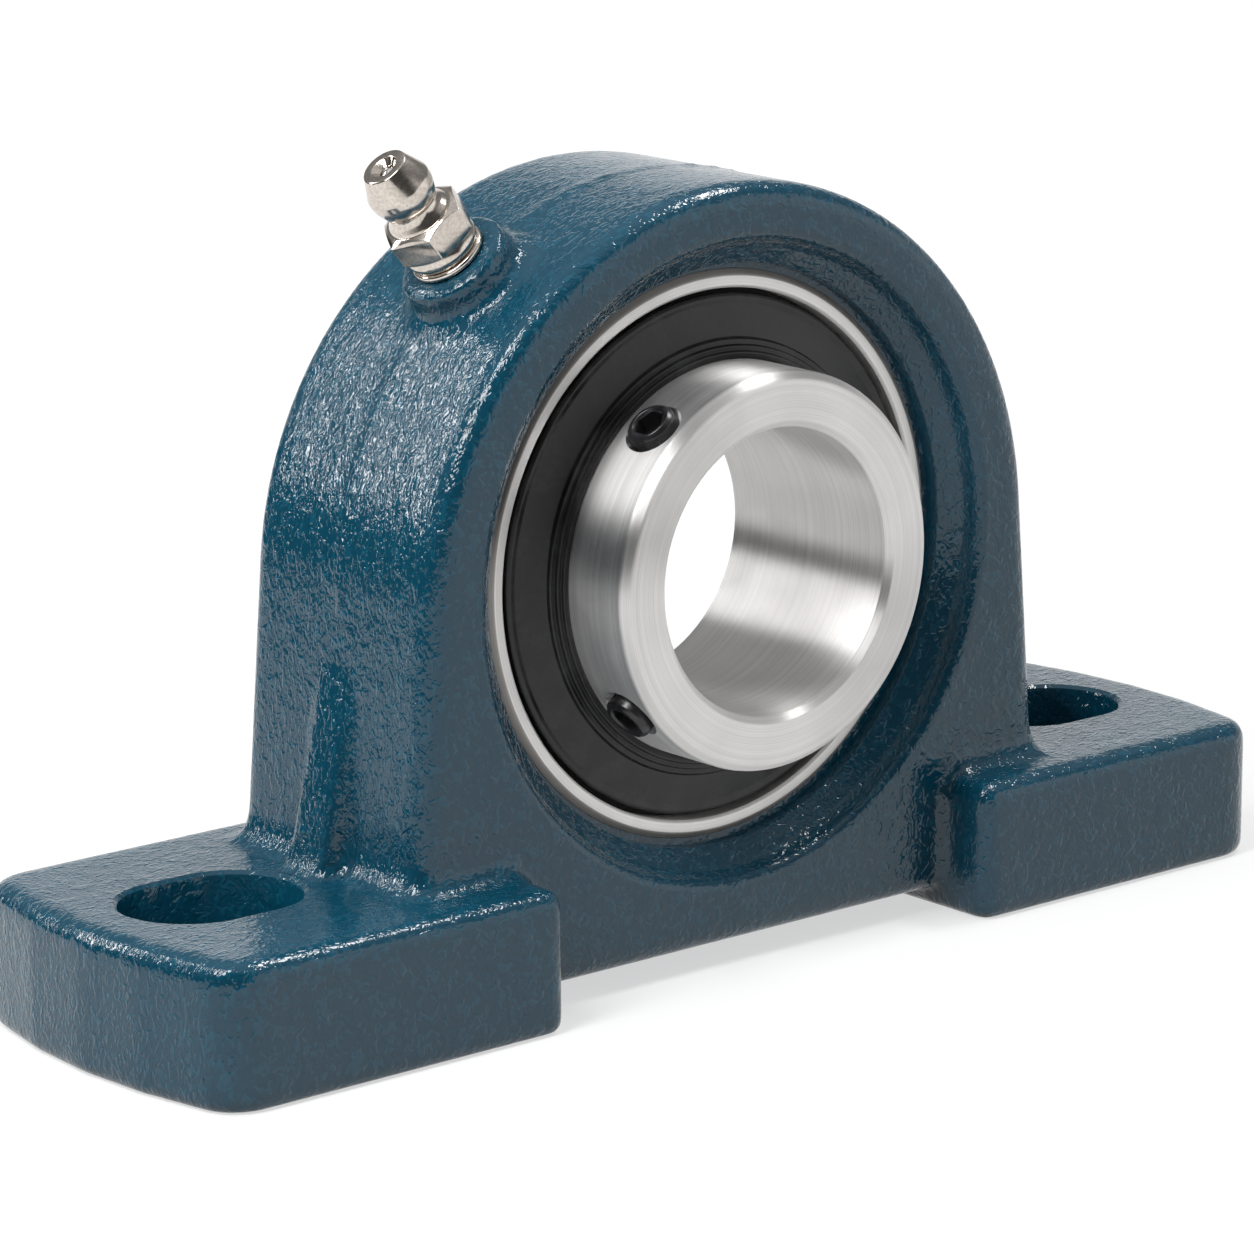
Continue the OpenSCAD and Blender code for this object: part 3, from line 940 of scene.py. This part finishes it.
@dataclass
class SetScrew:
    """A socket set screw in the inner ring."""

    index: int
    angle: float
    y: float
    r: float = 3.0
    foot: float = 18.2
    length: float = 7.2
    socket_af: float = 3.4
    socket_deep: float = 2.9

    def build(self) -> bpy.types.Object:
        """Makes the screw with its hexagon socket and cup point."""
        place = radial_frame(self.angle, self.y)
        low, high, r = self.foot, self.foot + self.length, self.r
        shape = [(0, low + 0.8), (1.35, low, 0.1), (r - 0.7, low, 0.1), (r, low + 0.7), (r, high - 0.55, 0.1),
                 (r - 0.45, high, 0.12), (2.15, high, 0.15), (1.95, high - 0.35), (0, high - 0.35)]
        screw = turned(f"socket_screw_{self.index}", shape, steps=64, about_y=False, place=place,
                       closed=False, arc=3)
        corner_r = self.socket_af / 2 / math.cos(math.radians(30))
        cut(screw, [cylinder("socket", corner_r, high - self.socket_deep, high + 1, place, sides=6)])
        Finishes.OXIDE.on(screw)
        fit_piece(screw, f"screw_{self.index}", [f"set_screw_{self.index}"])
        return screw


@dataclass
class Nipple:
    """The grease nipple on its tilted boss."""

    tilt: float = 39.5
    boss_top: float = 50.5
    reach: float = 14.8
    collar_r: float = 4.6
    hex_af: float = 9.2
    hex_low: float = 3.0
    hex_high: float = 7.0
    turn: float = 25.0
    shank: float = 9.3
    bore_r: float = 1.35
    lip_r: float = 0.9

    @property
    def place(self) -> Matrix:
        """The nipple's own frame, with +Z along its axis from the top of the boss."""
        a = math.radians(90 + self.tilt)
        out = Vector((math.cos(a), 0, math.sin(a)))
        return frame_along(out, out * self.boss_top * MM)

    def washer(self) -> bpy.types.Object:
        """The rounded sealing washer."""
        shape = [(3.65, 0), (self.collar_r, 0, 0.42), (self.collar_r, 0.92, 0.42), (3.65, 0.92)]
        piece = turned("nipple_collar", shape, steps=96, about_y=False, place=self.place, arc=6)
        Finishes.NICKEL.on(piece)
        fit_piece(piece, "block", ["nipple_washer"])
        return piece

    def hexagon(self) -> bpy.types.Object:
        """The hexagon, with both faces' corners turned off."""
        across = self.hex_af / math.cos(math.radians(30)) / 2
        low, high, flat, wide = self.hex_low, self.hex_high, self.hex_af / 2, across + 0.15
        spin = self.place @ Matrix.Rotation(math.radians(self.turn), 4, "Z")
        nut = cylinder("nipple_hexagon", across, low, high, spin, sides=6)
        shape = [(0, low - 0.01), (flat - 0.1, low - 0.01), (wide, low + 0.45), (wide, high - 0.75),
                 (flat - 0.35, high + 0.01), (0, high + 0.01)]
        lathe = turned("envelope", shape, steps=144, about_y=False, place=self.place, closed=False)
        add_boolean(nut, lathe, "INTERSECT")
        edge = nut.modifiers.new("broken edges", "BEVEL")
        edge.width = 0.12 * MM
        edge.segments = 2
        edge.limit_method = "ANGLE"
        edge.angle_limit = math.radians(25)
        settle(nut)
        bpy.data.objects.remove(lathe)
        return nut

    def body(self) -> bpy.types.Object:
        """The shank, flange, neck and head, joined with the hexagon."""
        low, high, tip, bore, lip = self.hex_low, self.hex_high, self.reach, self.bore_r, self.lip_r
        shape = [(bore, -self.shank), (3.5, -self.shank, 0.3), (3.5, 0.93), (4.1, 0.97, 0.1),
                 (self.collar_r, 1.6, 0.5), (self.collar_r - 0.1, 2.5, 0.4), (4.0, low + 0.2),
                 (3.6, low + 0.4), (3.6, high - 0.4), (4.05, high - 0.1, 0.05), (3.95, high + 0.15, 0.2),
                 (3.4, high + 0.95, 0.3), (3.2, high + 1.65, 0.25), (3.5, high + 2.1, 0.3),
                 (4.0, high + 3.5, 0.5), (4.05, high + 4.75, 0.25), (2.72, tip, 0.14), (1.65, tip, 0.1),
                 (lip, tip - 0.7), (lip, tip - 0.9), (bore, tip - 1.6)]
        piece = turned("nipple_stem", shape, steps=128, about_y=False, place=self.place)
        nut = self.hexagon()
        add_boolean(piece, nut, "UNION")
        settle(piece)
        bpy.data.objects.remove(nut)
        Finishes.NICKEL.on(piece)
        fit_piece(piece, "block", ["nipple_body"])
        return piece

    def build(self) -> None:
        """Makes the washer and the body."""
        self.washer()
        self.body()


@dataclass
class InnerWorks:
    """CAD nodes whose shape stays: the balls, the cage, the pin and the check valve."""

    finishes: dict[str, Finishes] = field(default_factory=lambda: {
        "cage_front": Finishes.SHEET, "cage_rear": Finishes.SHEET, "cage_rivets": Finishes.SHEET,
        "locating_pin": Finishes.SHEET, "nipple_ball": Finishes.POLISH, "nipple_spring": Finishes.WIRE,
        **{f"ball_{k}": Finishes.POLISH for k in range(1, 11)}})

    def dress(self, nodes: dict[str, bpy.types.Object]) -> None:
        """Joins each node's triangles with a live modifier and gives it its finish.

        Args:
            nodes: CAD nodes by name.
        """
        for name, finish in self.finishes.items():
            node = nodes[name]
            weld = node.modifiers.new("weld", "WELD")
            weld.merge_threshold = WELD_GAP
            finish.on(node)
            LOG.info("%s keeps its CAD shape", name)


# Studio


@dataclass(frozen=True)
class Patch:
    """A grey part of the studio's walls.

    Its edge fades over the two cosines in near, from its heading, and over the two heights in top.
    """

    heading: Pair
    near: Pair
    level: float
    top: Pair | None = None

    def mask(self, s: Shades, way: bpy.types.NodeSocket, z: bpy.types.NodeSocket) -> bpy.types.NodeSocket:
        """Returns 1 for the directions inside the patch and 0 outside.

        Args:
            s: The world's node helper.
            way: The direction of view.
            z: Its height.
        """
        turn = s.add("VectorMath", {0: way, 1: (*self.heading, 0.0)}, operation="DOT_PRODUCT").outputs["Value"]
        toward = s.remap(turn, *self.near)
        return s.math("MULTIPLY", s.remap(z, *self.top, 1.0, 0.0), toward) if self.top else toward


@dataclass
class Studio:
    """The floor, the lights, the world and the camera."""

    azimuth: float = 0.7005842
    elevation: float = 0.2409322
    roll: float = 0.0041390
    distance: float = 656.869
    px_per_mm: float = 8.2265666
    image: float = 1254.0
    centre_px: Pair = (660.50126, 542.08352)
    sensor: float = 36.0
    floor_z: float = -49.8
    sheet: tuple[float, float, float, float] = (0.36, 2.5, 1.6, 4.0)
    paper: float = 0.38
    glow: Pair = (0.6, 0.8)
    glow_reach: Pair = (0.12, 0.6)
    walls: float = 0.25
    overhead: float = 0.7
    overhead_z: Pair = (0.6, 0.9)
    patches: tuple[Patch, ...] = (
        Patch((-0.64, -0.77), (0.3, 0.7), 0.08),
        Patch((-0.76, 0.64), (0.45, 0.6), 0.04, (0.14, 0.19)),
        Patch((0.97, 0.26), (0.1, 0.4), 0.6, (0.24, 0.32)),
        Patch((0.64, -0.77), (0.75, 0.92), 1.2, (0.4, 0.55)))
    backdrop: Patch = Patch((0.64, 0.77), (0.9, 0.95), 1.0, (0.36, 0.48))
    box_reach: float = 0.40
    box_start: float = 115.0
    box_panels: int = 2

    def camera(self) -> bpy.types.Object:
        """Places the camera where the photograph was taken from."""
        a, e, r = self.azimuth, self.elevation, self.roll
        ahead = Vector((math.sin(a) * math.cos(e), math.cos(a) * math.cos(e), -math.sin(e)))
        right = Vector((math.cos(a), -math.sin(a), 0))
        down = ahead.cross(right)
        right, down = right * math.cos(r) + down * math.sin(r), down * math.cos(r) - right * math.sin(r)
        focal = self.distance * self.px_per_mm
        off = [(c - self.image / 2) / focal * self.distance for c in self.centre_px]
        spot = -(right * off[0] + down * off[1] + ahead * self.distance) * MM
        lens = bpy.data.cameras.new("camera")
        lens.sensor_width = self.sensor
        lens.sensor_fit = "HORIZONTAL"
        lens.lens = focal / self.image * lens.sensor_width
        lens.clip_start = 0.01
        cam = bpy.data.objects.new("camera", lens)
        bpy.context.scene.collection.objects.link(cam)
        cam.matrix_world = Matrix.Translation(spot) @ Matrix((right, -down, -ahead)).transposed().to_4x4()
        bpy.context.scene.camera = cam
        return cam

    def lamp(self, name: str, spot: Vector, size: tuple[float, float], radiance: float, aim: Vector) -> None:
        """Hangs a soft rectangular lamp that the camera doesn't see.

        Args:
            name: Name of the lamp.
            spot: Place, in metres.
            size: Width and height, in metres.
            radiance: Brightness of its face, where 1 is white.
            aim: Point that it faces, in metres.
        """
        data = bpy.data.lights.new(name, "AREA")
        data.shape = "RECTANGLE"
        data.size, data.size_y = size
        data.energy = radiance * math.pi * size[0] * size[1]
        lamp = bpy.data.objects.new(name, data)
        bpy.context.scene.collection.objects.link(lamp)
        lamp.location = spot
        lamp.rotation_euler = (aim - spot).to_track_quat("-Z", "Y").to_euler()
        lamp.visible_camera = False

    def world(self) -> None:
        """The studio's walls: white behind the part, a dark gap low on the left, dim above."""
        world = bpy.data.worlds.new("studio")
        world.use_nodes = True
        world.node_tree.nodes.clear()
        s = Shades(world.node_tree)
        way = s.add("TexCoord").outputs["Generated"]
        z = s.add("SeparateXYZ", {0: way}).outputs[2]
        level = s.mix(s.remap(z, *self.overhead_z), grey(self.walls), grey(self.overhead))
        for patch in self.patches:
            level = s.mix(patch.mask(s, way, z), level, grey(patch.level))
        rays = s.add("LightPath").outputs
        gloss = s.math("MAXIMUM", rays["Is Glossy Ray"], rays["Is Transmission Ray"])
        shown = s.math("MAXIMUM", rays["Is Camera Ray"],
                       s.math("MULTIPLY", gloss, self.backdrop.mask(s, way, z)))
        sky = s.add("Background", {0: s.mix(shown, level, grey(self.backdrop.level)), 1: 1.0})
        s.add("OutputWorld", {0: sky.outputs[0]})
        bpy.context.scene.world = world

    def floor(self) -> None:
        """A plain white sheet that keeps the part's soft shadow, for the camera and in gloss."""
        left, right, near, far = self.sheet
        centre = ((right - left) / 2, (far - near) / 2, self.floor_z * MM)
        bm = bmesh.new()
        bmesh.ops.create_grid(bm, x_segments=4, y_segments=4, size=0.5)
        bmesh.ops.scale(bm, vec=(left + right, near + far, 1), verts=bm.verts[:])
        bmesh.ops.translate(bm, vec=centre, verts=bm.verts[:])
        bmesh.ops.rotate(bm, cent=(0, 0, 0), matrix=Matrix.Rotation(-self.azimuth, 3, "Z"),
                         verts=bm.verts[:])
        floor = new_object("floor", bm)
        mat = bpy.data.materials.new("floor_paper")
        mat.use_nodes = True
        mat.node_tree.nodes.clear()
        s = Shades(mat.node_tree)
        rays = s.add("LightPath").outputs
        gloss = s.math("MAXIMUM", rays["Is Glossy Ray"], rays["Is Transmission Ray"])
        shown = s.math("MAXIMUM", rays["Is Camera Ray"], gloss)
        paper = s.add("BsdfDiffuse", {0: grey(self.paper)})
        at = s.add("TexCoord").outputs["Object"]
        reach = s.add("VectorMath", {0: at}, operation="LENGTH").outputs["Value"]
        glow = s.add("Emission", {0: grey(1.0), 1: s.remap(reach, *self.glow_reach, *self.glow)})
        both = s.add("AddShader", {0: paper.outputs[0], 1: glow.outputs[0]})
        pick = s.add("MixShader", {0: shown, 1: paper.outputs[0], 2: both.outputs[0]})
        s.add("OutputMaterial", {0: pick.outputs[0]})
        Finish.put(floor, mat)

    def softbox(self, name: str, low_y: float, high_y: float, sweep: float, radiance: float) -> None:
        """A curved softbox at the upper left, in panels about the shaft's axis.

        Args:
            name: Start of the panels' names.
            low_y: Place of its front end along the shaft, in metres.
            high_y: Place of its back end.
            sweep: Angle that each panel takes, in degrees.
            radiance: Brightness of its face.
        """
        middle = Vector((0, (low_y + high_y) / 2, 0))
        size = (high_y - low_y, self.box_reach * math.radians(sweep))
        for k in range(self.box_panels):
            a = math.radians(self.box_start + sweep * (k + 0.5))
            spot = Vector((math.cos(a), 0, math.sin(a))) * self.box_reach + middle
            self.lamp(f"{name}_{k + 1}", spot, size, radiance, middle)

    def build(self) -> None:
        """Sets up the studio."""
        self.camera()
        self.world()
        self.floor()
        self.softbox("left_strip", low_y=0.33, high_y=0.40, sweep=27.0, radiance=17.0)
        self.softbox("left_box", low_y=-0.12, high_y=-0.02, sweep=19.0, radiance=16.0)
        self.lamp("right_box", Vector((0.34, -0.05, 0.61)), size=(0.22, 0.12), radiance=20.0, aim=Vector())
        bpy.context.scene.view_settings.view_transform = "Standard"


def main() -> None:
    """Loads the frame and builds each sub-assembly in order."""
    logging.basicConfig(level=logging.INFO, format="%(name)s %(message)s")
    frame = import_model()
    Studio().build()
    Casting().build(frame["nodes"]["housing"])
    insert = Insert()
    insert.build()
    for index, angle in enumerate(insert.screw_angles, 1):
        SetScrew(index, angle, insert.screw_y).build()
    Nipple().build()
    InnerWorks().dress(frame["nodes"])


if __name__ == "__main__":
    main()
